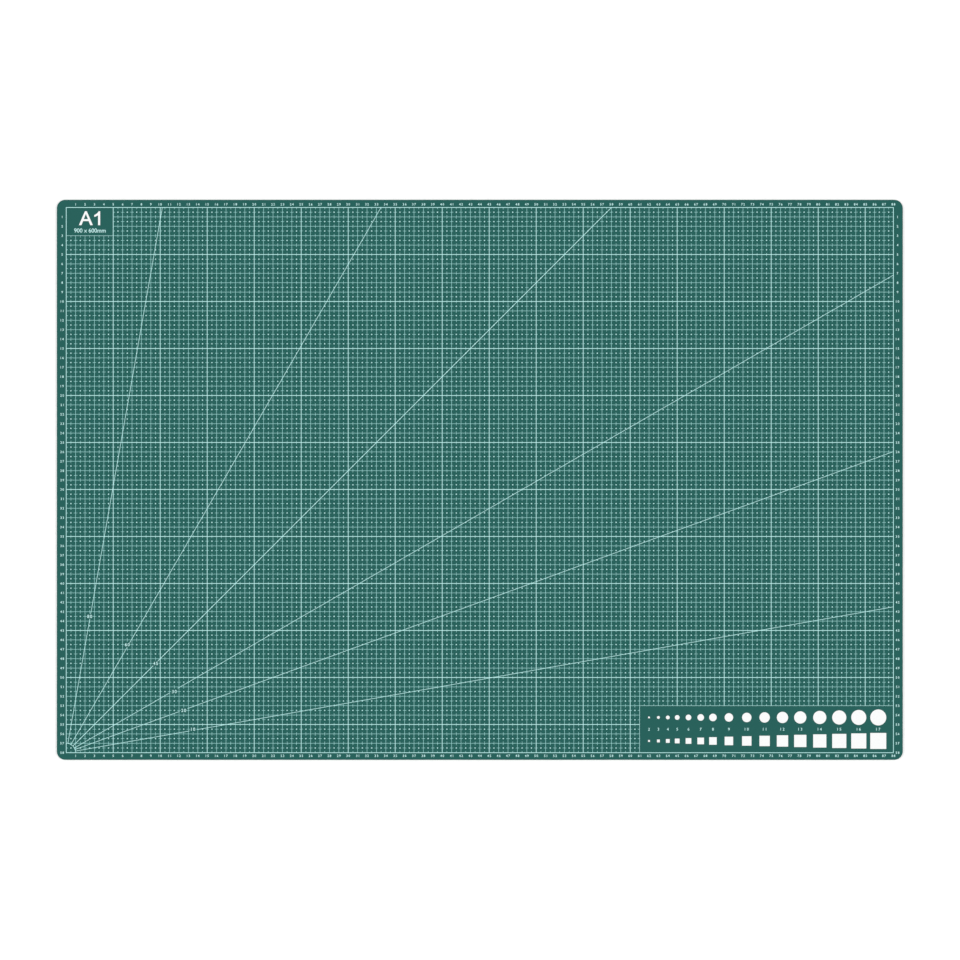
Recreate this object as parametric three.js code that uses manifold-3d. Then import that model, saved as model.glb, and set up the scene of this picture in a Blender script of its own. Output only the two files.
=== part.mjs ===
// Self healing cutting mat for leather and craft work, lying flat with its print upwards.
//
// The mat is a laminate of five bonded plies with one shared outline: a soft healing layer
// on each face, a stiffer core in the middle and a thin film of adhesive on both sides of
// the core. A white ink film on the top carries the ruled frame with its bold lines every
// five centimetres, six angle lines, two plain panels, a row of gauge discs, a row of gauge
// squares and the sheet-size title. Each patch of ink that stands alone is a part of its own.
//
// Units are millimetres. The origin is the centre of the underside, +X runs along the long
// side, +Y points to the top edge of the print and +Z points up.

import * as THREE from 'three';
import { mergeVertices } from 'three/addons/utils/BufferGeometryUtils.js';
import Module from 'manifold-3d';

// Outline of every ply
const MAT_LENGTH = 900;
const MAT_WIDTH = 595.8;
const CORNER_RADIUS = 9;
const CORNER_STEPS = 6;

// Ply thicknesses, 3 mm in all. They are eighths of a millimetre, so faces meet exactly.
const HEALING_LAYER = 0.875;
const BONDING_FILM = 0.25;
const STIFFENING_CORE = 0.75;

// Ruled field, counted in centimetre cells from its bottom left corner
const CELL = 10;
const COLUMNS = 88;
const ROWS = 58;
const BOTTOM_MARGIN = 7.6;
const BOLD_EVERY = 5;

// Ink film and the widths of its lines. The ruled film is cut out of a thick plate, by slabs
// that run past it above and below, and is then pressed down to the film's thickness.
const INK_FILM = 0.03;
const CUTTING_THICKNESS = 16;
const CUT_OVERRUN = 8;
const BOLD_LINE = 0.6;
const BORDER_LINE = 0.3;

// Angle lines fan out from an arc round the bottom left corner, each with a gap for its
// label. The 45 degree line, which is used most, is the widest. A label stands in the middle
// of a centimetre cell, counted in columns and rows from the field's bottom left corner.
const ARC_RADIUS = 10;
const ARC_WIDTH = 0.45;
const ARC_STEPS = 6;
const LABEL_HALF_WIDTH = 4.2;
const LABEL_HALF_HEIGHT = 2.5;
const ANGLE_LINES = [
  { degrees: 10, width: 0.45, labelColumn: 13, labelRow: 2 },
  { degrees: 20, width: 0.45, labelColumn: 12, labelRow: 4 },
  { degrees: 30, width: 0.45, labelColumn: 11, labelRow: 6 },
  { degrees: 45, width: 0.55, labelColumn: 9, labelRow: 9 },
  { degrees: 60, width: 0.45, labelColumn: 6, labelRow: 11 },
  { degrees: 80, width: 0.45, labelColumn: 2, labelRow: 14 },
];

// Plain panels, in cells: the title at the top left and the gauges at the bottom right
const TITLE_PANEL = { columns: 5, rows: 3 };
const GAUGE_PANEL = { columns: 27, rows: 5 };

// Gauge discs and squares: 2 to 17 mm across, at these steps along the panel
const SMALLEST_GAUGE = 2;
const FIRST_GAUGE_INSET = 10;
const GAUGE_STEPS = [
  10, 10, 10, 12, 13, 13, 17, 19, 19, 19, 18.9, 20.75, 20.75, 20.75, 20.75,
];
const DISC_ROW_HEIGHT = 37.5;
const SQUARE_ROW_HEIGHT = 12.5;
const DISC_STEPS = 24;

// Title, measured from the left side and the top of the ruled field
const TITLE_HEIGHT = 14.8;
const TITLE_TOP = 4.0;
const LETTER_LEFT = 13.5;
const DIGIT_LEFT = 29.83;

const FIELD_LENGTH = COLUMNS * CELL;
const FIELD_WIDTH = ROWS * CELL;
const FIELD_LEFT = -FIELD_LENGTH / 2;
const FIELD_BOTTOM = -MAT_WIDTH / 2 + BOTTOM_MARGIN;
const INK_BASE = 2 * HEALING_LAYER + 2 * BONDING_FILM + STIFFENING_CORE;

const healingGreen = { color: 0x28615b, roughness: 0.6, metalness: 0 };
const filmAmber = { color: 0xb9b48f, roughness: 0.35, metalness: 0 };
const coreGrey = { color: 0x8d9392, roughness: 0.5, metalness: 0 };
const inkWhite = { color: 0xfafcfc, roughness: 0.5, metalness: 0 };

const wasm = await Module();
wasm.setup();

const mat = new THREE.Group();

function addPart(name, geometry, finish, height) {
  const mesh = new THREE.Mesh(geometry, new THREE.MeshStandardMaterial(finish));
  mesh.name = name;
  mesh.position.z = height;
  mat.add(mesh);
  return mesh;
}

function sheet(shape, thickness, curveSegments = 1) {
  return new THREE.ExtrudeGeometry(shape, { depth: thickness, bevelEnabled: false, curveSegments });
}

// ---- Plies -------------------------------------------------------------------------------

// The die-cut outline: a rectangle with a quarter circle at each corner.
function matOutline() {
  const x = MAT_LENGTH / 2 - CORNER_RADIUS;
  const y = MAT_WIDTH / 2 - CORNER_RADIUS;
  const quarter = Math.PI / 2;
  const shape = new THREE.Shape();
  shape.absarc(x, y, CORNER_RADIUS, 0, quarter, false);
  shape.absarc(-x, y, CORNER_RADIUS, quarter, 2 * quarter, false);
  shape.absarc(-x, -y, CORNER_RADIUS, 2 * quarter, 3 * quarter, false);
  shape.absarc(x, -y, CORNER_RADIUS, 3 * quarter, 4 * quarter, false);
  return shape;
}

// The plies from the bench upwards, each lying on the one before it.
function addPlies() {
  const plies = [
    { name: 'bottom_healing_layer', thickness: HEALING_LAYER, finish: healingGreen },
    { name: 'lower_bonding_film', thickness: BONDING_FILM, finish: filmAmber },
    { name: 'stiffening_core', thickness: STIFFENING_CORE, finish: coreGrey },
    { name: 'upper_bonding_film', thickness: BONDING_FILM, finish: filmAmber },
    { name: 'top_healing_layer', thickness: HEALING_LAYER, finish: healingGreen },
  ];
  let height = 0;
  for (const ply of plies) {
    addPart(ply.name, sheet(matOutline(), ply.thickness, CORNER_STEPS), ply.finish, height);
    height += ply.thickness;
  }
}

// ---- Ruled lines -------------------------------------------------------------------------

function toManifold(geometry) {
  const bare = geometry.clone();
  bare.deleteAttribute('normal');
  bare.deleteAttribute('uv');
  const merged = mergeVertices(bare);
  return new wasm.Manifold(new wasm.Mesh({
    numProp: 3,
    vertProperties: new Float32Array(merged.attributes.position.array),
    triVerts: new Uint32Array(merged.index.array),
  }));
}

function fromManifold(solid) {
  const { vertProperties, triVerts } = solid.getMesh();
  const geometry = new THREE.BufferGeometry();
  geometry.setAttribute('position', new THREE.BufferAttribute(vertProperties, 3));
  geometry.setIndex(new THREE.BufferAttribute(triVerts, 1));
  geometry.computeVertexNormals();
  return geometry;
}

// A shape drawn on the ruled field, made a slab that runs past the film above and below.
// Field points count millimetres from the field's bottom left corner.
function slab(shape, overrun, curveSegments = 1) {
  const geometry = sheet(shape, CUTTING_THICKNESS + 2 * overrun, curveSegments);
  return toManifold(geometry.translate(FIELD_LEFT, FIELD_BOTTOM, -overrun));
}

function rectangle(left, right, bottom, top) {
  return new THREE.Shape([
    new THREE.Vector2(left, bottom),
    new THREE.Vector2(right, bottom),
    new THREE.Vector2(right, top),
    new THREE.Vector2(left, top),
  ]);
}

// A straight stroke of ink from one radius to another along a ray from the bottom left corner.
function rayStroke(angle, width, near, far) {
  const along = new THREE.Vector2(Math.cos(angle), Math.sin(angle));
  const side = new THREE.Vector2(-along.y, along.x).multiplyScalar(width / 2);
  const start = along.clone().multiplyScalar(near);
  const end = along.clone().multiplyScalar(far);
  return new THREE.Shape([
    start.clone().sub(side),
    end.clone().sub(side),
    end.clone().add(side),
    start.clone().add(side),
  ]);
}

// Angle lines run from the arc to the frame, with a gap where each label stands upright.
function angleStrokes() {
  const strokes = [];
  for (const { degrees, width, labelColumn, labelRow } of ANGLE_LINES) {
    const angle = THREE.MathUtils.degToRad(degrees);
    const cos = Math.cos(angle);
    const sin = Math.sin(angle);
    const labelRadius = ((labelColumn + 0.5) * cos + (labelRow + 0.5) * sin) * CELL;
    const reach = Math.min(FIELD_LENGTH / cos, FIELD_WIDTH / sin);
    const gap = Math.min(LABEL_HALF_WIDTH / cos, LABEL_HALF_HEIGHT / sin);
    strokes.push(rayStroke(angle, width, ARC_RADIUS, labelRadius - gap));
    strokes.push(rayStroke(angle, width, labelRadius + gap, reach));
  }
  return strokes;
}

// The quarter circle that the angle lines start from, run on into the frame at both ends.
function cornerArc() {
  const past = THREE.MathUtils.degToRad(1);
  const from = -past;
  const to = Math.PI / 2 + past;
  const shape = new THREE.Shape();
  shape.absarc(0, 0, ARC_RADIUS + ARC_WIDTH / 2, from, to, false);
  shape.absarc(0, 0, ARC_RADIUS - ARC_WIDTH / 2, to, from, true);
  return shape;
}

// Places of the frame's two sides and of the bold lines between them, in one direction.
function boldGrid(length, firstBold) {
  const lines = [0];
  for (let at = firstBold; at < length; at += BOLD_EVERY * CELL) {
    lines.push(at);
  }
  lines.push(length);
  return lines;
}

// The open cells between neighbouring lines of the bold grid. Rows are counted from the top,
// so the first bold row above the bottom is what five-row steps leave over.
function openCells() {
  const columns = boldGrid(FIELD_LENGTH, BOLD_EVERY * CELL);
  const rows = boldGrid(FIELD_WIDTH, (ROWS % BOLD_EVERY) * CELL);
  const cells = [];
  for (let c = 1; c < columns.length; c += 1) {
    for (let r = 1; r < rows.length; r += 1) {
      cells.push(rectangle(
        columns[c - 1] + BOLD_LINE / 2,
        columns[c] - BOLD_LINE / 2,
        rows[r - 1] + BOLD_LINE / 2,
        rows[r] - BOLD_LINE / 2,
      ));
    }
  }
  return cells;
}

// All the lines touch one another, so they print as one film: a plate the size of the frame,
// less every cell of the bold grid. What crosses a cell is taken from the cut first, and so
// stays: the angle strokes, the arc, and the two plain panels, which are then opened on their
// own and keep a fine border.
function addRuledLines() {
  const titleRight = TITLE_PANEL.columns * CELL;
  const titleBottom = FIELD_WIDTH - TITLE_PANEL.rows * CELL;
  const gaugeLeft = FIELD_LENGTH - GAUGE_PANEL.columns * CELL;
  const gaugeTop = GAUGE_PANEL.rows * CELL;
  const boldHalf = BOLD_LINE / 2;
  const borderHalf = BORDER_LINE / 2;

  const titlePanel = rectangle(
    -CELL, titleRight, titleBottom - borderHalf, FIELD_WIDTH + CELL,
  );
  const gaugePanel = rectangle(
    gaugeLeft - borderHalf, FIELD_LENGTH + CELL, -CELL, gaugeTop + borderHalf,
  );
  const kept = [...angleStrokes(), cornerArc(), titlePanel, gaugePanel].map((shape) => (
    slab(shape, 2 * CUT_OVERRUN, ARC_STEPS)
  ));
  const cuts = openCells().map((shape) => (
    kept.reduce((cell, stroke) => cell.subtract(stroke), slab(shape, CUT_OVERRUN))
  ));
  const titleOpening = rectangle(
    boldHalf, titleRight - boldHalf, titleBottom + borderHalf, FIELD_WIDTH - boldHalf,
  );
  const gaugeOpening = rectangle(
    gaugeLeft + borderHalf, FIELD_LENGTH - boldHalf, boldHalf, gaugeTop - borderHalf,
  );
  cuts.push(slab(titleOpening, CUT_OVERRUN), slab(gaugeOpening, CUT_OVERRUN));

  const plate = rectangle(
    -boldHalf, FIELD_LENGTH + boldHalf, -boldHalf, FIELD_WIDTH + boldHalf,
  );
  const film = cuts.reduce((rest, cut) => rest.subtract(cut), slab(plate, 0));
  const pressed = fromManifold(film).scale(1, 1, INK_FILM / CUTTING_THICKNESS);
  addPart('ruled_line_print', pressed, inkWhite, INK_BASE);
}

// ---- Gauges and title --------------------------------------------------------------------

// One disc and one square of each size, the discs above the squares.
function addGauges() {
  const panelLeft = FIELD_LEFT + FIELD_LENGTH - GAUGE_PANEL.columns * CELL;
  let x = panelLeft + FIRST_GAUGE_INSET;
  for (let index = 0; index <= GAUGE_STEPS.length; index += 1) {
    const size = SMALLEST_GAUGE + index;
    const label = String(size).padStart(2, '0');

    const disc = new THREE.Shape();
    disc.absarc(0, 0, size / 2, 0, 2 * Math.PI, false);
    const discFilm = sheet(disc, INK_FILM, DISC_STEPS);
    const discMesh = addPart(`gauge_disc_${label}`, discFilm, inkWhite, INK_BASE);
    discMesh.position.x = x;
    discMesh.position.y = FIELD_BOTTOM + DISC_ROW_HEIGHT;

    const half = size / 2;
    const square = new THREE.Shape([
      new THREE.Vector2(-half, -half),
      new THREE.Vector2(half, -half),
      new THREE.Vector2(half, half),
      new THREE.Vector2(-half, half),
    ]);
    const squareFilm = sheet(square, INK_FILM);
    const squareMesh = addPart(`gauge_square_${label}`, squareFilm, inkWhite, INK_BASE);
    squareMesh.position.x = x;
    squareMesh.position.y = FIELD_BOTTOM + SQUARE_ROW_HEIGHT;

    x += GAUGE_STEPS[index] ?? 0;
  }
}

// The letter A, drawn with two straight legs, a flat top and a crossbar. Its outline is
// scaled from the height, and its left foot stands on the origin.
function letterA(height) {
  const width = height;
  const foot = 0.185 * height;
  const flatTop = 0.135 * height;
  const barBottom = 0.295 * height;
  const barTop = 0.431 * height;
  const counterTop = 0.81 * height;
  const middle = width / 2;
  // Half the distance between the legs' inner edges closes evenly from the feet to the top.
  const innerHalf = (y) => (middle - foot) * (1 - y / counterTop);
  const shape = new THREE.Shape([
    new THREE.Vector2(0, 0),
    new THREE.Vector2(foot, 0),
    new THREE.Vector2(middle - innerHalf(barBottom), barBottom),
    new THREE.Vector2(middle + innerHalf(barBottom), barBottom),
    new THREE.Vector2(width - foot, 0),
    new THREE.Vector2(width, 0),
    new THREE.Vector2(middle + flatTop / 2, height),
    new THREE.Vector2(middle - flatTop / 2, height),
  ]);
  shape.holes.push(new THREE.Path([
    new THREE.Vector2(middle - innerHalf(barTop), barTop),
    new THREE.Vector2(middle, counterTop),
    new THREE.Vector2(middle + innerHalf(barTop), barTop),
  ]));
  return shape;
}

// The digit 1, a plain stem with a curved flag. Its flag's tip stands over the origin.
function digitOne(height) {
  const right = 0.425 * height;
  const stem = 0.15 * height;
  const shape = new THREE.Shape();
  shape.moveTo(right - stem, 0);
  shape.lineTo(right, 0);
  shape.lineTo(right, height);
  shape.lineTo(right - 0.1 * height, height);
  shape.quadraticCurveTo(0.2 * height, 0.81 * height, 0, 0.726 * height);
  shape.lineTo(0, 0.598 * height);
  shape.quadraticCurveTo(0.15 * height, 0.63 * height, right - stem, 0.72 * height);
  shape.closePath();
  return shape;
}

function addTitle() {
  const baseline = FIELD_BOTTOM + FIELD_WIDTH - TITLE_TOP - TITLE_HEIGHT;
  const characters = [
    { name: 'title_letter_a', shape: letterA(TITLE_HEIGHT), left: LETTER_LEFT },
    { name: 'title_digit_1', shape: digitOne(TITLE_HEIGHT), left: DIGIT_LEFT },
  ];
  for (const { name, shape, left } of characters) {
    const mesh = addPart(name, sheet(shape, INK_FILM, CORNER_STEPS), inkWhite, INK_BASE);
    mesh.position.x = FIELD_LEFT + left;
    mesh.position.y = baseline;
  }
}

addPlies();
addRuledLines();
addGauges();
addTitle();

export default mat;
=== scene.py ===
"""The looks of a self healing cutting mat: five bonded plies and the white print on the top one.

Lengths are in metres. +X runs along the long side, +Y points to the print's top edge and +Z
is up. The mat lies on a pale bench with its underside at height zero.
"""

import bpy
import numpy as np
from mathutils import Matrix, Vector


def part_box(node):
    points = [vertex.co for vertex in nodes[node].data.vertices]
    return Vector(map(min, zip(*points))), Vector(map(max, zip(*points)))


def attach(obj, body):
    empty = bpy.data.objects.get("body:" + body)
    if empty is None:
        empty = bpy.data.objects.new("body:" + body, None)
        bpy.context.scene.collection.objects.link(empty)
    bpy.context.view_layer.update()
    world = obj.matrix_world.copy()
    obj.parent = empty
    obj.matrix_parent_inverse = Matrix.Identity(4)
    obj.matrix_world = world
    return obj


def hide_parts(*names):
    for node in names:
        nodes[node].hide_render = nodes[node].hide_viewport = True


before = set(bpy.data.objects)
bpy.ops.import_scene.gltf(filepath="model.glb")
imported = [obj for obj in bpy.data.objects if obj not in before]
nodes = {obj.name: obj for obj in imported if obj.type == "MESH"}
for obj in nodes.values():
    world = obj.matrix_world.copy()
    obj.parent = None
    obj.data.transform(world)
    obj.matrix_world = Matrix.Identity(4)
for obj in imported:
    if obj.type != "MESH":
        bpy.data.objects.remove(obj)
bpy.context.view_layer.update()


# ---- The bench ----------------------------------------------------------------------------
# A smooth white board, far wider than the mat, which lies loose on it. Its top is a hair
# below height zero, so the mat's underside and the board never share a plane.

BENCH_HALF = 6.0
BENCH_SQUARES = 8
BENCH_TOP = -0.00005
BENCH_WHITE = (0.96, 0.96, 0.96, 1.0)
BENCH_ROUGHNESS = 0.8
BENCH_SPECULAR = 0.1


def board_mesh(name, half, height, squares):
    """A level square board: evenly spaced rows of points, joined by quads that face up."""
    along = np.linspace(-half, half, squares + 1)
    x, y = np.meshgrid(along, along)
    points = np.stack([x.ravel(), y.ravel(), np.full(x.size, height)], axis=1)
    first = (np.arange(squares)[:, None] * (squares + 1) + np.arange(squares)).ravel()
    quads = np.stack([first, first + 1, first + squares + 2, first + squares + 1], axis=1)
    mesh = bpy.data.meshes.new(name)
    mesh.from_pydata(points.tolist(), [], quads.tolist())
    return mesh


def place(mesh, material):
    """Puts a mesh into the scene as it stands, under its own name and with one material."""
    piece = bpy.data.objects.new(mesh.name, mesh)
    bpy.context.scene.collection.objects.link(piece)
    mesh.materials.append(material)
    return piece


def plain_material(name, colour, roughness, specular):
    """A Principled material; returns it with its node tree and its shader node."""
    material = bpy.data.materials.new(name)
    material.use_nodes = True
    tree = material.node_tree
    shader = tree.nodes["Principled BSDF"]
    shader.inputs["Base Color"].default_value = colour
    shader.inputs["Roughness"].default_value = roughness
    shader.inputs["Specular IOR Level"].default_value = specular
    return material, tree, shader


bench_paint, _, _ = plain_material("bench_paint", BENCH_WHITE, BENCH_ROUGHNESS, BENCH_SPECULAR)
bench = place(board_mesh("bench_top", BENCH_HALF, BENCH_TOP, BENCH_SQUARES), bench_paint)


# ---- The healing layers -------------------------------------------------------------------
# Soft filled PVC, dark green, calendered with a very fine pebble so that work does not slip.
# A steel rule die cuts the bonded stack, which leaves the layers' outer edges slightly round.

MAT_LOW, MAT_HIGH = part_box("top_healing_layer")
HALF_LENGTH = (MAT_HIGH.x - MAT_LOW.x) / 2
HALF_WIDTH = (MAT_HIGH.y - MAT_LOW.y) / 2
CORNER_RADIUS = 0.009
CORNER_STEPS = 32
DIE_EDGE_RADIUS = 0.00018
INNER_EDGE_RADIUS = 0.00003
EDGE_STEPS = 4
PVC_GREEN = (0.0100, 0.0926, 0.0796, 1.0)
PVC_GREEN_DEEP = (0.0088, 0.0876, 0.0753, 1.0)
PVC_EDGE = (0.0170, 0.1180, 0.1030, 1.0)
PVC_DULL = 0.7
PVC_BURNISHED = 0.54
PVC_SPECULAR = 0.15
CLOUD_SCALE = 16.0
CLOUD_DETAIL = 3.0
LEVEL_FACE = 0.85
CUT_FACE = 0.35
PEBBLE_SCALE = 2400.0
PEBBLE_SMOOTHNESS = 0.6
PEBBLE_SHARE = -0.7
GRAIN_SCALE = 900.0
GRAIN_DETAIL = 4.0
PEBBLE_STRENGTH = 0.5
PEBBLE_DEPTH = 0.00003


def mat_outline(inset):
    """The die's path: a rectangle with quarter circles at its corners, counterclockwise.

    Each quarter turns through CORNER_STEPS equal angles about its own centre, and the whole
    path is drawn inset from the mat's outline by the given distance.
    """
    quarter = np.linspace(0, np.pi / 2, CORNER_STEPS + 1)
    angle = (np.arange(4)[:, None] * np.pi / 2 + quarter).ravel()
    side_x = np.repeat([1, -1, -1, 1], CORNER_STEPS + 1)
    side_y = np.repeat([1, 1, -1, -1], CORNER_STEPS + 1)
    radius = CORNER_RADIUS - inset
    x = side_x * (HALF_LENGTH - CORNER_RADIUS) + radius * np.cos(angle)
    y = side_y * (HALF_WIDTH - CORNER_RADIUS) + radius * np.sin(angle)
    return x, y


def ply_mesh(name, low, high, recess, low_radius, high_radius):
    """One ply: an edge profile carried round the mat's outline and capped above and below.

    The profile rises from the underside round a quarter circle of low_radius, up the cut
    edge and round a quarter circle of high_radius to the upper face. recess pulls it in.
    """
    turn = np.linspace(0, np.pi / 2, EDGE_STEPS + 1)
    inset = np.concatenate([low_radius * (1 - np.sin(turn)), high_radius * (1 - np.cos(turn))])
    height = np.concatenate(
        [low + low_radius * (1 - np.cos(turn)), high - high_radius * (1 - np.sin(turn))]
    )
    rings = []
    for step_in, z in zip(inset + recess, height):
        x, y = mat_outline(step_in)
        rings.append(np.stack([x, y, np.full_like(x, z)], axis=1))
    count = len(rings[0])
    around = np.arange(count)
    onward = (around + 1) % count
    walls = []
    for ring in range(len(rings) - 1):
        here = ring * count
        there = here + count
        sides = [here + around, here + onward, there + onward, there + around]
        walls.append(np.stack(sides, axis=1))
    faces = np.concatenate(walls).tolist()
    wall_count = len(faces)
    faces.append(around[::-1].tolist())
    faces.append(((len(rings) - 1) * count + around).tolist())
    mesh = bpy.data.meshes.new(name)
    mesh.from_pydata(np.concatenate(rings).tolist(), [], faces)
    smooth = np.arange(len(faces)) < wall_count
    mesh.polygons.foreach_set("use_smooth", smooth)
    return mesh


def add_noise(tree, coordinates, scale, detail):
    """A noise pattern on the given coordinates, as its node."""
    noise = tree.nodes.new("ShaderNodeTexNoise")
    noise.inputs["Scale"].default_value = scale
    noise.inputs["Detail"].default_value = detail
    tree.links.new(coordinates, noise.inputs["Vector"])
    return noise


def add_blend(tree, share, first, second):
    """A blend from the first colour to the second as share grows, as its node."""
    blend = tree.nodes.new("ShaderNodeMix")
    blend.data_type = "RGBA"
    blend.inputs["A"].default_value = first
    blend.inputs["B"].default_value = second
    tree.links.new(share, blend.inputs["Factor"])
    return blend


def emboss(tree, shader, height, strength, depth):
    """Lets a pattern of heights tilt the surface."""
    bump = tree.nodes.new("ShaderNodeBump")
    bump.inputs["Strength"].default_value = strength
    bump.inputs["Distance"].default_value = depth
    tree.links.new(height, bump.inputs["Height"])
    tree.links.new(bump.outputs["Normal"], shader.inputs["Normal"])


def pvc_material(name):
    """Green PVC: slow shifts of shade over the sheet, a fine pebble and a paler cut edge."""
    material, tree, shader = plain_material(name, PVC_GREEN, PVC_DULL, PVC_SPECULAR)
    new, link = tree.nodes.new, tree.links.new
    where = new("ShaderNodeTexCoord").outputs["Object"]

    # Cloudy shade from the mixing of the compound, some 60 mm across.
    clouds = add_noise(tree, where, CLOUD_SCALE, CLOUD_DETAIL)
    shade = add_blend(tree, clouds.outputs["Fac"], PVC_GREEN_DEEP, PVC_GREEN)

    # The die's cut scuffs the edge, which looks paler than the faces.
    surface = new("ShaderNodeNewGeometry")
    facing = new("ShaderNodeSeparateXYZ")
    link(surface.outputs["True Normal"], facing.inputs["Vector"])
    upright = new("ShaderNodeMath")
    upright.operation = "ABSOLUTE"
    link(facing.outputs["Z"], upright.inputs[0])
    edge = new("ShaderNodeMapRange")
    edge.inputs["From Min"].default_value = LEVEL_FACE
    edge.inputs["From Max"].default_value = CUT_FACE
    link(upright.outputs["Value"], edge.inputs["Value"])
    colour = add_blend(tree, edge.outputs["Result"], PVC_GREEN, PVC_EDGE)
    link(shade.outputs["Result"], colour.inputs["A"])
    link(colour.outputs["Result"], shader.inputs["Base Color"])

    # The calender's pebble, about 0.4 mm from bump to bump, with a softer second grain.
    pebble = new("ShaderNodeTexVoronoi")
    pebble.feature = "SMOOTH_F1"
    pebble.inputs["Scale"].default_value = PEBBLE_SCALE
    pebble.inputs["Smoothness"].default_value = PEBBLE_SMOOTHNESS
    link(where, pebble.inputs["Vector"])
    grain = add_noise(tree, where, GRAIN_SCALE, GRAIN_DETAIL)
    relief = new("ShaderNodeMath")
    relief.operation = "MULTIPLY_ADD"
    relief.inputs[1].default_value = PEBBLE_SHARE
    link(pebble.outputs["Distance"], relief.inputs[0])
    link(grain.outputs["Fac"], relief.inputs[2])
    emboss(tree, shader, relief.outputs["Value"], PEBBLE_STRENGTH, PEBBLE_DEPTH)

    # Bumps burnish and hollows stay dull.
    polish = new("ShaderNodeMapRange")
    polish.inputs["To Min"].default_value = PVC_DULL
    polish.inputs["To Max"].default_value = PVC_BURNISHED
    link(grain.outputs["Fac"], polish.inputs["Value"])
    link(polish.outputs["Result"], shader.inputs["Roughness"])
    return material


def add_ply(name, node, material, recess, low_radius, high_radius):
    """A finished ply in the place of its plain solid."""
    low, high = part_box(node)
    ply = place(ply_mesh(name, low.z, high.z, recess, low_radius, high_radius), material)
    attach(ply, "root")
    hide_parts(node)


healing_pvc = pvc_material("healing_pvc")
add_ply(
    "top_healing_ply", "top_healing_layer", healing_pvc,
    0.0, INNER_EDGE_RADIUS, DIE_EDGE_RADIUS,
)
add_ply(
    "bottom_healing_ply", "bottom_healing_layer", healing_pvc,
    0.0, DIE_EDGE_RADIUS, INNER_EDGE_RADIUS,
)


# ---- The stiffening core ------------------------------------------------------------------
# A harder grey plastic sheet between the soft layers. It stops the blade and keeps the mat
# flat. The die leaves its edge a trifle inside the softer layers, with fine upright drags.

CORE_GREY = (0.238, 0.260, 0.257, 1.0)
CORE_GREY_DARK = (0.173, 0.193, 0.191, 1.0)
CORE_ROUGHNESS = 0.5
CORE_SPECULAR = 0.4
CORE_RECESS = 0.00004
DRAG_STRETCH = (3000.0, 3000.0, 60.0)
DRAG_SCALE = 1.0
DRAG_DETAIL = 3.0
DRAG_STRENGTH = 0.4
DRAG_DEPTH = 0.00002


def core_material(name):
    """Grey plastic board with fine upright drags in its shade and its surface."""
    material, tree, shader = plain_material(name, CORE_GREY, CORE_ROUGHNESS, CORE_SPECULAR)
    where = tree.nodes.new("ShaderNodeTexCoord")
    stretch = tree.nodes.new("ShaderNodeMapping")
    stretch.inputs["Scale"].default_value = DRAG_STRETCH
    tree.links.new(where.outputs["Object"], stretch.inputs["Vector"])
    drags = add_noise(tree, stretch.outputs["Vector"], DRAG_SCALE, DRAG_DETAIL)
    shade = add_blend(tree, drags.outputs["Fac"], CORE_GREY_DARK, CORE_GREY)
    tree.links.new(shade.outputs["Result"], shader.inputs["Base Color"])
    emboss(tree, shader, drags.outputs["Fac"], DRAG_STRENGTH, DRAG_DEPTH)
    return material


add_ply(
    "stiffening_core_ply", "stiffening_core", core_material("core_board"),
    CORE_RECESS, INNER_EDGE_RADIUS, INNER_EDGE_RADIUS,
)


# ---- The bonding films --------------------------------------------------------------------
# A thin film of amber adhesive on each side of the core, rolled on before pressing.
# It shrinks back from the cut edge, where it shows as a narrow groove.

FILM_AMBER = (0.273, 0.250, 0.150, 1.0)
FILM_AMBER_PALE = (0.364, 0.345, 0.236, 1.0)
FILM_ROUGHNESS = 0.35
FILM_SPECULAR = 0.5
FILM_RECESS = 0.00012
STREAK_SCALE = 350.0
STREAK_DETAIL = 2.0


def film_material(name):
    """Amber adhesive with paler streaks."""
    material, tree, shader = plain_material(name, FILM_AMBER, FILM_ROUGHNESS, FILM_SPECULAR)
    where = tree.nodes.new("ShaderNodeTexCoord")
    streaks = add_noise(tree, where.outputs["Object"], STREAK_SCALE, STREAK_DETAIL)
    shade = add_blend(tree, streaks.outputs["Fac"], FILM_AMBER, FILM_AMBER_PALE)
    tree.links.new(shade.outputs["Result"], shader.inputs["Base Color"])
    return material


bonding_film = film_material("bonding_film")
for film_name, film_node in (
    ("lower_bonding_ply", "lower_bonding_film"),
    ("upper_bonding_ply", "upper_bonding_film"),
):
    add_ply(
        film_name, film_node, bonding_film,
        FILM_RECESS, INNER_EDGE_RADIUS, INNER_EDGE_RADIUS,
    )


# ---- The solid print ----------------------------------------------------------------------
# Matte white screen ink, three hundredths of a millimetre thick. The gauge discs, the gauge
# squares and the title are solid patches that took a full load of ink, so they are whitest.

INK_WHITE = (0.792, 0.797, 0.797)
INK_ROUGHNESS = 0.55
INK_SPECULAR = 0.2
THIN_SHARE = 0.95
SPECK_SCALE = 700.0
SPECK_DETAIL = 4.0
SPECK_BARE = 0.3
SPECK_COVERED = 0.5
SPECK_STRENGTH = 0.3
SPECK_DEPTH = 0.00001


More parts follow.
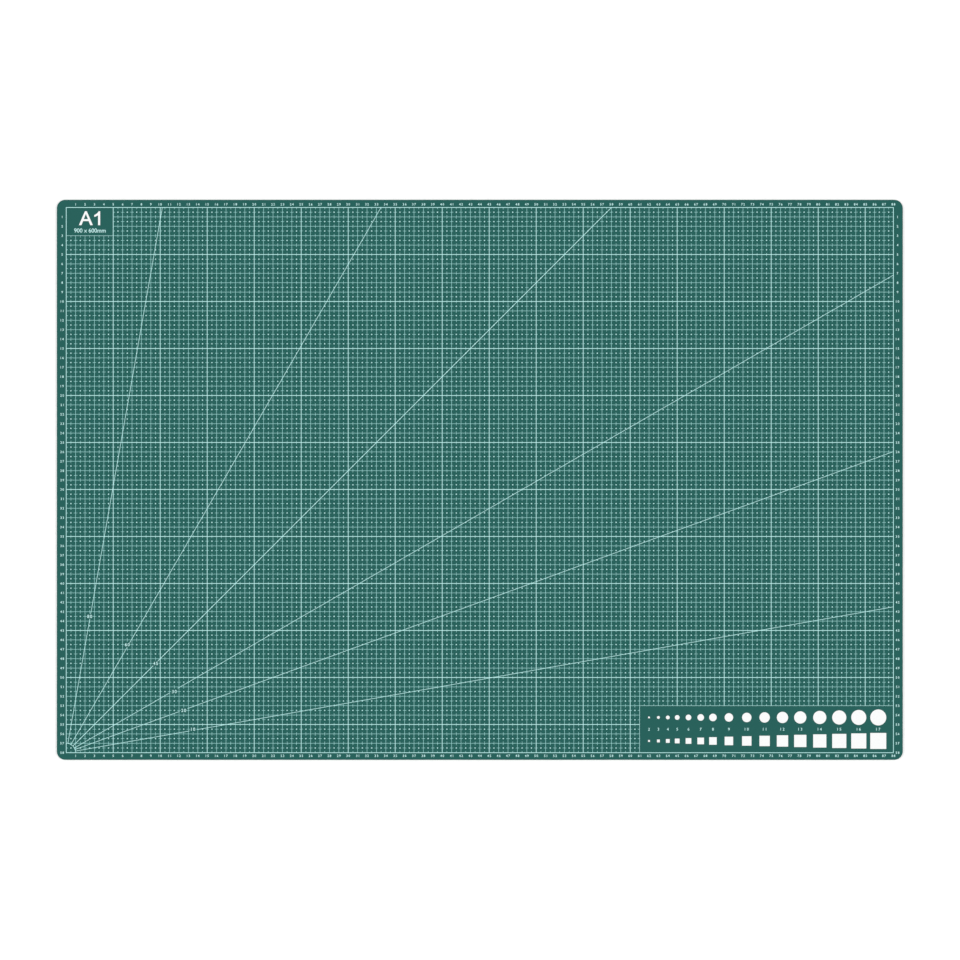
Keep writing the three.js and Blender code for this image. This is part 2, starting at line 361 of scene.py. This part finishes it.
def ink_material(name, colour):
    """Matte screen ink of one colour, a shade darker in specks where the mesh starved."""
    full = (*colour, 1.0)
    starved = (*(channel * THIN_SHARE for channel in colour), 1.0)
    material, tree, shader = plain_material(name, full, INK_ROUGHNESS, INK_SPECULAR)
    where = tree.nodes.new("ShaderNodeTexCoord")
    specks = add_noise(tree, where.outputs["Object"], SPECK_SCALE, SPECK_DETAIL)
    cover = tree.nodes.new("ShaderNodeMapRange")
    cover.inputs["From Min"].default_value = SPECK_BARE
    cover.inputs["From Max"].default_value = SPECK_COVERED
    tree.links.new(specks.outputs["Fac"], cover.inputs["Value"])
    shade = add_blend(tree, cover.outputs["Result"], starved, full)
    tree.links.new(shade.outputs["Result"], shader.inputs["Base Color"])
    emboss(tree, shader, specks.outputs["Fac"], SPECK_STRENGTH, SPECK_DEPTH)
    return material


def recoat(node, material):
    """Gives a solid of the print its finished material."""
    node.data.materials.clear()
    node.data.materials.append(material)


solid_ink = ink_material("solid_ink", INK_WHITE)
for node_name, node in nodes.items():
    if node_name.startswith(("gauge_", "title_")):
        recoat(node, solid_ink)


# ---- The bold lines -----------------------------------------------------------------------
# The frame, the bold lines every five centimetres, the panel borders and the angle lines.
# A narrow line takes less ink than a patch, so the green shows through it as a mint tint.

BOLD_MINT = (0.462, 0.791, 0.773)

bold_ink = ink_material("bold_ink", BOLD_MINT)
recoat(nodes["ruled_line_print"], bold_ink)


# ---- The centimetre lines -----------------------------------------------------------------
# Fine lines every centimetre between the bold ones, 88 columns by 58 rows, with the least
# ink and the most tint. Each set is a few thousandths of a millimetre thinner than the one
# it crosses, so the films overlap without two top faces ever lying in one plane.

FINE_MINT = (0.400, 0.791, 0.768)
COLUMNS = 88
ROWS = 58
BOLD_EVERY = 5
TITLE_COLUMNS = 5
TITLE_ROWS = 3
GAUGE_COLUMNS = 27
GAUGE_ROWS = 5
BOLD_LINE = 0.0006
FINE_LINE = 0.00028
UP_LINES_THICK = 0.000027
ACROSS_LINES_THICK = 0.000024

RULED_LOW, RULED_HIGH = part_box("ruled_line_print")
FIELD_LEFT = RULED_LOW.x + BOLD_LINE / 2
FIELD_BOTTOM = RULED_LOW.y + BOLD_LINE / 2
FIELD_LENGTH = RULED_HIGH.x - RULED_LOW.x - BOLD_LINE
FIELD_WIDTH = RULED_HIGH.y - RULED_LOW.y - BOLD_LINE
CELL = FIELD_LENGTH / COLUMNS
PRINT_BASE = RULED_LOW.z
TITLE_RIGHT = TITLE_COLUMNS * CELL
TITLE_BOTTOM = FIELD_WIDTH - TITLE_ROWS * CELL
GAUGE_LEFT = FIELD_LENGTH - GAUGE_COLUMNS * CELL
GAUGE_TOP = GAUGE_ROWS * CELL

# Two places closer than this count as one place.
HAIR = 1e-6


def column_reach(x):
    """Lowest and highest place that an upright line at x may reach without crossing a panel."""
    low = np.where(x > GAUGE_LEFT + HAIR, GAUGE_TOP, 0.0)
    high = np.where(x < TITLE_RIGHT - HAIR, TITLE_BOTTOM, FIELD_WIDTH)
    return low, high


def row_reach(y):
    """Leftmost and rightmost place that a level line at y may reach without crossing a panel."""
    left = np.where(y > TITLE_BOTTOM + HAIR, TITLE_RIGHT, 0.0)
    right = np.where(y < GAUGE_TOP - HAIR, GAUGE_LEFT, FIELD_LENGTH)
    return left, right


def ink_patches(name, left, right, bottom, top, thickness):
    """Rectangles of ink as flat closed blocks, all in one mesh.

    The four arrays give each patch's sides on the ruled field. Every block is the product
    of its two sides in x, its two in y and the film's lower and upper faces in z.
    """
    left, right, bottom, top = np.broadcast_arrays(left, right, bottom, top)
    x = FIELD_LEFT + np.stack([left, right, right, left] * 2, axis=1)
    y = FIELD_BOTTOM + np.stack([bottom, bottom, top, top] * 2, axis=1)
    z = PRINT_BASE + np.broadcast_to(np.repeat([0.0, thickness], 4), x.shape)
    points = np.stack([x, y, z], axis=2).reshape(-1, 3)
    block = np.array(
        [[3, 2, 1, 0], [4, 5, 6, 7], [0, 1, 5, 4], [1, 2, 6, 5], [2, 3, 7, 6], [3, 0, 4, 7]]
    )
    first = np.arange(len(left))[:, None, None] * x.shape[1]
    quads = (first + block).reshape(-1, block.shape[1])
    mesh = bpy.data.meshes.new(name)
    mesh.from_pydata(points.tolist(), [], quads.tolist())
    return mesh


def add_print(mesh, ink):
    """A piece of the print, fixed to the top layer."""
    piece = place(mesh, ink)
    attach(piece, "root")


fine_ink = ink_material("fine_ink", FINE_MINT)
column = np.arange(1, COLUMNS)
column_x = column[column % BOLD_EVERY != 0] * CELL
column_low, column_high = column_reach(column_x)
add_print(
    ink_patches(
        "centimetre_lines_up",
        column_x - FINE_LINE / 2,
        column_x + FINE_LINE / 2,
        column_low,
        column_high,
        UP_LINES_THICK,
    ),
    fine_ink,
)

row = np.arange(1, ROWS)
row_y = FIELD_WIDTH - row[row % BOLD_EVERY != 0] * CELL
row_left, row_right = row_reach(row_y)
add_print(
    ink_patches(
        "centimetre_lines_across",
        row_left,
        row_right,
        row_y - FINE_LINE / 2,
        row_y + FINE_LINE / 2,
        ACROSS_LINES_THICK,
    ),
    fine_ink,
)


# ---- The half centimetre marks ------------------------------------------------------------
# Broken lines halve the centimetre cells: a dash over each centimetre line and a small
# cross at the middle of each cell. Each angle line's label takes the place of one cross, in
# a cell whose column and row are counted from the field's lower left corner.

DASH_LENGTH = 0.0038
DASH_LINE = 0.00028
CROSS_LENGTH = 0.0015
CROSS_LINE = 0.00052
CROSS_MINT = (0.473, 0.795, 0.782)
UP_DASH_THICK = 0.000021
ACROSS_DASH_THICK = 0.000018
LABEL_DEGREES = (10, 20, 30, 45, 60, 80)
LABEL_COLUMNS = [13, 12, 11, 9, 6, 2]
LABEL_ROWS = [2, 4, 6, 9, 11, 14]

middle_x = (np.arange(COLUMNS) + 0.5) * CELL
middle_y = (np.arange(ROWS) + 0.5) * CELL

half_x, line_y = np.meshgrid(middle_x, np.arange(ROWS + 1) * CELL)
half_x, line_y = half_x.ravel(), line_y.ravel()
dash_floor, dash_ceiling = column_reach(half_x)
dash_bottom = np.maximum(line_y - DASH_LENGTH / 2, dash_floor)
dash_top = np.minimum(line_y + DASH_LENGTH / 2, dash_ceiling)
drawn = dash_top - dash_bottom > HAIR
add_print(
    ink_patches(
        "half_centimetre_dashes_up",
        half_x[drawn] - DASH_LINE / 2,
        half_x[drawn] + DASH_LINE / 2,
        dash_bottom[drawn],
        dash_top[drawn],
        UP_DASH_THICK,
    ),
    fine_ink,
)

line_x, half_y = np.meshgrid(np.arange(COLUMNS + 1) * CELL, middle_y)
line_x, half_y = line_x.ravel(), half_y.ravel()
dash_start, dash_end = row_reach(half_y)
dash_left = np.maximum(line_x - DASH_LENGTH / 2, dash_start)
dash_right = np.minimum(line_x + DASH_LENGTH / 2, dash_end)
drawn = dash_right - dash_left > HAIR
add_print(
    ink_patches(
        "half_centimetre_dashes_across",
        dash_left[drawn],
        dash_right[drawn],
        half_y[drawn] - DASH_LINE / 2,
        half_y[drawn] + DASH_LINE / 2,
        ACROSS_DASH_THICK,
    ),
    fine_ink,
)

cross_x, cross_y = np.meshgrid(middle_x, middle_y)
cross_x, cross_y = cross_x.ravel(), cross_y.ravel()
in_title = (cross_x < TITLE_RIGHT) & (cross_y > TITLE_BOTTOM)
in_gauges = (cross_x > GAUGE_LEFT) & (cross_y < GAUGE_TOP)
label_x, label_y = middle_x[LABEL_COLUMNS], middle_y[LABEL_ROWS]
has_label = (
    (np.abs(cross_x[:, None] - label_x) < CELL / 2)
    & (np.abs(cross_y[:, None] - label_y) < CELL / 2)
).any(axis=1)
open_cell = ~(in_title | in_gauges | has_label)
cross_x, cross_y = cross_x[open_cell], cross_y[open_cell]
cross_ink = ink_material("cross_ink", CROSS_MINT)
for bar_name, reach_x, reach_y, thickness in (
    ("cell_crosses_up", CROSS_LINE / 2, CROSS_LENGTH / 2, UP_DASH_THICK),
    ("cell_crosses_across", CROSS_LENGTH / 2, CROSS_LINE / 2, ACROSS_DASH_THICK),
):
    add_print(
        ink_patches(
            bar_name,
            cross_x - reach_x,
            cross_x + reach_x,
            cross_y - reach_y,
            cross_y + reach_y,
            thickness,
        ),
        cross_ink,
    )


# ---- The edge numerals --------------------------------------------------------------------
# Upright numerals in the margins count the centimetres: left to right above and below the
# field and top to bottom at its sides. Their strokes take a little more ink than the lines.

NUMERAL_MINT = (0.509, 0.795, 0.782)
EDGE_CAP = 0.0024
EDGE_WEIGHT = 0.014
EDGE_SPACING = 1.35
EDGE_FINENESS = 2
LETTER_THICK = 0.000025
CAP_SHARE = 0.686
ABOVE_FIELD = 0.0034
BELOW_FIELD = 0.0033
LEFT_OF_FIELD = 0.0043
RIGHT_OF_FIELD = 0.0044
glyphs = {}


def flat_text(text, weight, spacing, fineness):
    """Outline letters of unit size as flat faces: their points and their polygons.

    The letters stand on the line y = 0 and are centred on x = 0. weight swells the outline.
    """
    key = (text, weight, spacing, fineness)
    if key not in glyphs:
        curve = bpy.data.curves.new("letters", "FONT")
        curve.body = text
        curve.align_x = "CENTER"
        curve.offset = weight
        curve.space_character = spacing
        curve.resolution_u = fineness
        carrier = bpy.data.objects.new("letters", curve)
        bpy.context.scene.collection.objects.link(carrier)
        graph = bpy.context.evaluated_depsgraph_get()
        mesh = bpy.data.meshes.new_from_object(carrier.evaluated_get(graph))
        points = np.empty(len(mesh.vertices) * 3)
        mesh.vertices.foreach_get("co", points)
        points = points.reshape(-1, 3)[:, :2]
        points[:, 0] -= (points[:, 0].min() + points[:, 0].max()) / 2
        polygons = [list(polygon.vertices) for polygon in mesh.polygons]
        bpy.data.objects.remove(carrier)
        bpy.data.curves.remove(curve)
        bpy.data.meshes.remove(mesh)
        glyphs[key] = points, polygons
    return glyphs[key]


def ink_text(name, entries, cap_height, weight, spacing, fineness):
    """Texts as closed films of ink in one mesh.

    entries lists each text with the place of its middle on the ruled field. cap_height is a
    capital's height, which is CAP_SHARE of the type's size. A film is the flat letters copied
    at the print's base and its top, joined by a wall along every edge that only one polygon
    uses.
    """
    points, faces, used = [], [], 0
    for text, centre_x, centre_y in entries:
        flat, polygons = flat_text(text, weight, spacing, fineness)
        size = cap_height / CAP_SHARE
        count = len(flat)
        low = np.zeros((count, 3))
        low[:, 0] = FIELD_LEFT + centre_x + flat[:, 0] * size
        low[:, 1] = FIELD_BOTTOM + centre_y + flat[:, 1] * size - cap_height / 2
        low[:, 2] = PRINT_BASE
        high = low + (0.0, 0.0, LETTER_THICK)
        points += [low, high]
        edges = set()
        for polygon in polygons:
            edges.update(zip(polygon, polygon[1:] + polygon[:1]))
            faces.append([used + index for index in polygon[::-1]])
            faces.append([used + count + index for index in polygon])
        base, roof = used, used + count
        for start, end in edges:
            if (end, start) not in edges:
                faces.append([base + start, base + end, roof + end, roof + start])
        used += 2 * count
    mesh = bpy.data.meshes.new(name)
    mesh.from_pydata(np.concatenate(points).tolist(), [], faces)
    return mesh


across_top = [(str(n), n * CELL, FIELD_WIDTH + ABOVE_FIELD) for n in range(1, COLUMNS + 1)]
across_bottom = [(str(n), n * CELL, -BELOW_FIELD) for n in range(1, COLUMNS + 1)]
down_left = [(str(n), -LEFT_OF_FIELD, FIELD_WIDTH - n * CELL) for n in range(1, ROWS + 1)]
down_right = [
    (str(n), FIELD_LENGTH + RIGHT_OF_FIELD, FIELD_WIDTH - n * CELL) for n in range(1, ROWS + 1)
]
numeral_ink = ink_material("numeral_ink", NUMERAL_MINT)
for numerals_name, entries in (
    ("top_edge_numerals", across_top),
    ("bottom_edge_numerals", across_bottom),
    ("left_edge_numerals", down_left),
    ("right_edge_numerals", down_right),
):
    add_print(
        ink_text(numerals_name, entries, EDGE_CAP, EDGE_WEIGHT, EDGE_SPACING, EDGE_FINENESS),
        numeral_ink,
    )


# ---- The gauge numerals and the angle labels ----------------------------------------------
# Each gauge disc and square has its size in millimetres between the two rows, and each angle
# line has its angle in degrees in the gap that the line leaves, in the middle of a cell.

GAUGE_CAP = 0.0028
GAUGE_WEIGHT = 0.010
GAUGE_SPACING = 1.5
GAUGE_NUMERAL_HEIGHT = 0.025
LABEL_CAP = 0.0033
LABEL_WEIGHT = 0.010
LABEL_SPACING = 1.22
LABEL_FINENESS = 4
SMALLEST_GAUGE = 2
LARGEST_GAUGE = 17

gauge_entries = []
for size in range(SMALLEST_GAUGE, LARGEST_GAUGE + 1):
    low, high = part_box(f"gauge_disc_{size:02d}")
    gauge_entries.append((str(size), (low.x + high.x) / 2 - FIELD_LEFT, GAUGE_NUMERAL_HEIGHT))
add_print(
    ink_text(
        "gauge_numerals",
        gauge_entries,
        GAUGE_CAP,
        GAUGE_WEIGHT,
        GAUGE_SPACING,
        LABEL_FINENESS,
    ),
    numeral_ink,
)

label_entries = [
    (str(degrees), x, y) for degrees, x, y in zip(LABEL_DEGREES, label_x, label_y)
]
add_print(
    ink_text(
        "angle_labels",
        label_entries,
        LABEL_CAP,
        LABEL_WEIGHT,
        LABEL_SPACING,
        LABEL_FINENESS,
    ),
    numeral_ink,
)


# ---- The size line ------------------------------------------------------------------------
# The sheet's nominal length and width in millimetres, in small letters under the title.
# They are printed with the numerals and take the same load of ink.

SIZE_MINT = (0.509, 0.795, 0.786)
SIZE_WORDS = "900 x 600mm"
SIZE_CAP = 0.0043
SIZE_WEIGHT = 0.004
SIZE_SPACING = 0.97
SIZE_FINENESS = 4
SIZE_CENTRE_X = 0.0252
SIZE_CENTRE_DOWN = 0.02445

add_print(
    ink_text(
        "size_line",
        [(SIZE_WORDS, SIZE_CENTRE_X, FIELD_WIDTH - SIZE_CENTRE_DOWN)],
        SIZE_CAP,
        SIZE_WEIGHT,
        SIZE_SPACING,
        SIZE_FINENESS,
    ),
    ink_material("size_ink", SIZE_MINT),
)


# ---- Light and camera ---------------------------------------------------------------------
# A white studio set up as a copy stand: even light from all round and a wide soft lamp on
# each side, so nothing glares and the mat's shadow is a faint line. The camera looks
# straight down on the middle of the mat through a long lens.

ROOM_WHITE = (1.0, 1.0, 1.0, 1.0)
ROOM_STRENGTH = 0.89
LAMP_WATTS = 155.0
LAMP_SIZE = 3.0
LAMP_OUT = 5.5
LAMP_HEIGHT = 6.0
LENS_MM = 100.0
SENSOR_MM = 36.0
FAR_CLIP = 100.0
VIEW_WIDTH = 1.0213
VIEW_CENTRE = (0.0002, -0.0002)

scene = bpy.context.scene
scene.view_settings.view_transform = "Standard"

room = bpy.data.worlds.new("white_studio")
room.use_nodes = True
backdrop = room.node_tree.nodes["Background"]
backdrop.inputs["Color"].default_value = ROOM_WHITE
backdrop.inputs["Strength"].default_value = ROOM_STRENGTH
scene.world = room

for lamp_name, side in (("left_lamp", -1), ("right_lamp", 1)):
    lamp = bpy.data.lights.new(lamp_name, "AREA")
    lamp.shape = "SQUARE"
    lamp.size = LAMP_SIZE
    lamp.energy = LAMP_WATTS
    lamp_stand = bpy.data.objects.new(lamp_name, lamp)
    lamp_stand.location = (side * LAMP_OUT, 0.0, LAMP_HEIGHT)
    lamp_stand.rotation_euler = lamp_stand.location.to_track_quat("Z", "Y").to_euler()
    scene.collection.objects.link(lamp_stand)

lens = bpy.data.cameras.new("long_lens")
lens.lens = LENS_MM
lens.sensor_width = SENSOR_MM
lens.clip_end = FAR_CLIP
camera = bpy.data.objects.new("long_lens", lens)
camera.location = (*VIEW_CENTRE, MAT_HIGH.z + VIEW_WIDTH * LENS_MM / SENSOR_MM)
scene.collection.objects.link(camera)
scene.camera = camera
